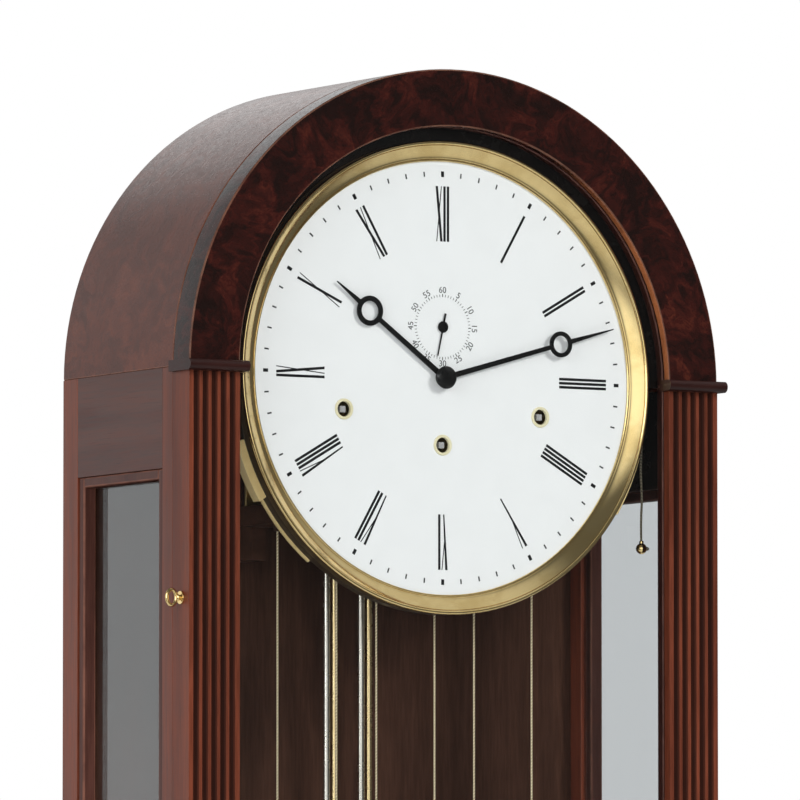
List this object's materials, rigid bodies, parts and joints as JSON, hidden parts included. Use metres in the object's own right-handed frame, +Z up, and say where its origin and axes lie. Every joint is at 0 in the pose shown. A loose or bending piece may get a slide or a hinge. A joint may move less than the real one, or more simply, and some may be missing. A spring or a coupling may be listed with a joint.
{
  "type": "longcase clock",
  "caption": "Arched longcase clock with a glazed fluted door, round white dial, hanging weights on cables and a swinging gridiron pendulum.",
  "frame": {"origin": "middle of the underside of the plinth", "axes": "+Z up, +Y to the back of the case, +X to the right seen from the front"},
  "size_m": [0.53, 0.236, 1.9799],
  "materials": {
    "mahogany": "polished lacquer",
    "burl": "polished burl veneer",
    "inner_wood": "satin",
    "clear_glass": "clear",
    "polished_brass": "polished",
    "bell_bronze": "polished",
    "steel": "polished",
    "cable": "stranded wire",
    "white_dial": "satin white",
    "black_lacquer": "satin",
    "black_hands": "gloss",
    "cord": "braided"
  },
  "bodies": {
    "case": {"base_front_panel": "mahogany", "base_side_panels": "mahogany", "floor_board": "inner_wood", "plinth_boards": "mahogany", "base_moulding": "mahogany", "trunk_side_stiles": "mahogany", "trunk_side_rails": "mahogany", "side_glass_panes": "clear_glass", "side_glass_beads": "mahogany", "back_panel": "inner_wood", "hood_shell": "mahogany", "case_hinge_leaves": "polished_brass", "bezel": "polished_brass", "dial_plate": "white_dial", "winding_grommets": "polished_brass", "dial_drum": "black_lacquer", "dial_flange": "polished_brass", "movement_plates": "polished_brass", "movement_pillars": "polished_brass", "seat_board": "inner_wood", "suspension_cock": "polished_brass", "chime_bells": "bell_bronze", "cable_left": "cable", "cable_centre": "cable", "cable_right": "cable"},
    "door": {"door_arch": "burl", "door_left_pilaster": "mahogany", "door_right_pilaster": "mahogany", "door_bottom_rail": "mahogany", "door_glass": "clear_glass", "door_glass_beads": "mahogany", "capital_mouldings": "mahogany", "door_hinge_leaves": "polished_brass", "lock_bush": "polished_brass"},
    "key": {"door_key": "polished_brass"},
    "hour_work": {"hour_hand": "black_hands"},
    "minute_work": {"minute_hand": "black_hands", "hand_nut": "black_hands"},
    "seconds_work": {"seconds_hand": "black_hands", "escape_wheel": "polished_brass"},
    "pendulum": {"suspension_spring": "steel", "pendulum_crossbars": "polished_brass", "pendulum_steel_rods": "steel", "pendulum_brass_rods": "polished_brass", "pendulum_bob": "polished_brass", "anchor_and_crutch": "steel"},
    "rating_nut": {"rating_nut": "polished_brass"},
    "hammers": {"chime_hammers": "polished_brass"},
    "repeat_lever": {"repeat_lever": "polished_brass"},
    "repeat_pull": {"repeat_cord": "cord", "repeat_ball": "polished_brass"},
    "barrel_left": {"barrel_left": "polished_brass"},
    "weight_left": {"weight_left": "polished_brass"},
    "pulley_left": {"pulley_left": "polished_brass"},
    "barrel_centre": {"barrel_centre": "polished_brass"},
    "weight_centre": {"weight_centre": "polished_brass"},
    "pulley_centre": {"pulley_centre": "polished_brass"},
    "barrel_right": {"barrel_right": "polished_brass"},
    "weight_right": {"weight_right": "polished_brass"},
    "pulley_right": {"pulley_right": "polished_brass"}
  },
  "joints": [
    {"name": "door_swing", "type": "hinge", "parent": "case", "child": "door", "pos_m": [0.239, -0.05225, 1], "axis": [0, 0, 1], "range_deg": [0, 105]},
    {"name": "key_turn", "type": "hinge", "parent": "door", "child": "key", "pos_m": [-0.235, -0.066, 1.57], "axis": [-1, 0, 0], "range_deg": [0, 90]},
    {"name": "minute_turn", "type": "hinge", "parent": "case", "child": "minute_work", "pos_m": [0, 0, 1.745], "axis": [0, 1, 0], "continuous": true},
    {"name": "hour_turn", "type": "hinge", "parent": "case", "child": "hour_work", "pos_m": [0, 0, 1.745], "axis": [0, 1, 0], "continuous": true},
    {"name": "seconds_turn", "type": "hinge", "parent": "case", "child": "seconds_work", "pos_m": [0, 0, 1.784], "axis": [0, 1, 0], "continuous": true},
    {"name": "pendulum_swing", "type": "hinge", "parent": "case", "child": "pendulum", "pos_m": [0, 0.0875, 1.815], "axis": [0, 1, 0], "range_deg": [-3, 3]},
    {"name": "rating_nut_turn", "type": "hinge", "parent": "pendulum", "child": "rating_nut", "pos_m": [0, 0.0875, 0.71], "axis": [0, 0, 1], "continuous": true},
    {"name": "hammer_lift", "type": "hinge", "parent": "case", "child": "hammers", "pos_m": [0.048, 0, 1.849], "axis": [0, 1, 0], "range_deg": [0, 10]},
    {"name": "repeat_lever_turn", "type": "hinge", "parent": "case", "child": "repeat_lever", "pos_m": [0.115, -0.034, 1.715], "axis": [0, 1, 0], "range_deg": [0, 9], "stiffness_Nm_per_rad": 0.3, "springref_deg": -17.19},
    {"name": "repeat_pull_slide", "type": "slide", "parent": "case", "child": "repeat_pull", "axis": [0, 0, 1], "range_m": [-0.0125, 0]},
    {"name": "weight_left_drop", "type": "slide", "parent": "case", "child": "weight_left", "axis": [0, 0, 1], "range_m": [-0.65, 0.23], "deforming": ["cable_left"]},
    {"name": "pulley_left_turn", "type": "hinge", "parent": "weight_left", "child": "pulley_left", "pos_m": [-0.0875, 0.0005, 1.295], "axis": [0, 1, 0], "range_deg": [-1600, 1600]},
    {"name": "barrel_left_turn", "type": "hinge", "parent": "case", "child": "barrel_left", "pos_m": [-0.0875, 0, 1.718], "axis": [0, 1, 0], "range_deg": [-3100, 3100]},
    {"name": "weight_centre_drop", "type": "slide", "parent": "case", "child": "weight_centre", "axis": [0, 0, 1], "range_m": [-0.65, 0.23], "deforming": ["cable_centre"]},
    {"name": "pulley_centre_turn", "type": "hinge", "parent": "weight_centre", "child": "pulley_centre", "pos_m": [0, 0.0005, 1.295], "axis": [0, 1, 0], "range_deg": [-1600, 1600]},
    {"name": "barrel_centre_turn", "type": "hinge", "parent": "case", "child": "barrel_centre", "pos_m": [0, 0, 1.6935], "axis": [0, 1, 0], "range_deg": [-3100, 3100]},
    {"name": "weight_right_drop", "type": "slide", "parent": "case", "child": "weight_right", "axis": [0, 0, 1], "range_m": [-0.65, 0.23], "deforming": ["cable_right"]},
    {"name": "pulley_right_turn", "type": "hinge", "parent": "weight_right", "child": "pulley_right", "pos_m": [0.0875, 0.0005, 1.295], "axis": [0, 1, 0], "range_deg": [-1600, 1600]},
    {"name": "barrel_right_turn", "type": "hinge", "parent": "case", "child": "barrel_right", "pos_m": [0.0875, 0, 1.718], "axis": [0, 1, 0], "range_deg": [-3100, 3100]}
  ],
  "couplings": [
    {"joint": "hour_turn", "follows": "minute_turn", "ratio": 0.083333},
    {"joint": "seconds_turn", "follows": "minute_turn", "ratio": 60},
    {"joint": "repeat_pull_slide", "follows": "repeat_lever_turn", "m_per_rad": -0.077},
    {"joint": "pulley_left_turn", "follows": "weight_left_drop", "rad_per_m": -38.462},
    {"joint": "barrel_left_turn", "follows": "weight_left_drop", "rad_per_m": -76.923},
    {"joint": "pulley_centre_turn", "follows": "weight_centre_drop", "rad_per_m": -38.462},
    {"joint": "barrel_centre_turn", "follows": "weight_centre_drop", "rad_per_m": -76.923},
    {"joint": "pulley_right_turn", "follows": "weight_right_drop", "rad_per_m": -38.462},
    {"joint": "barrel_right_turn", "follows": "weight_right_drop", "rad_per_m": -76.923}
  ]
}
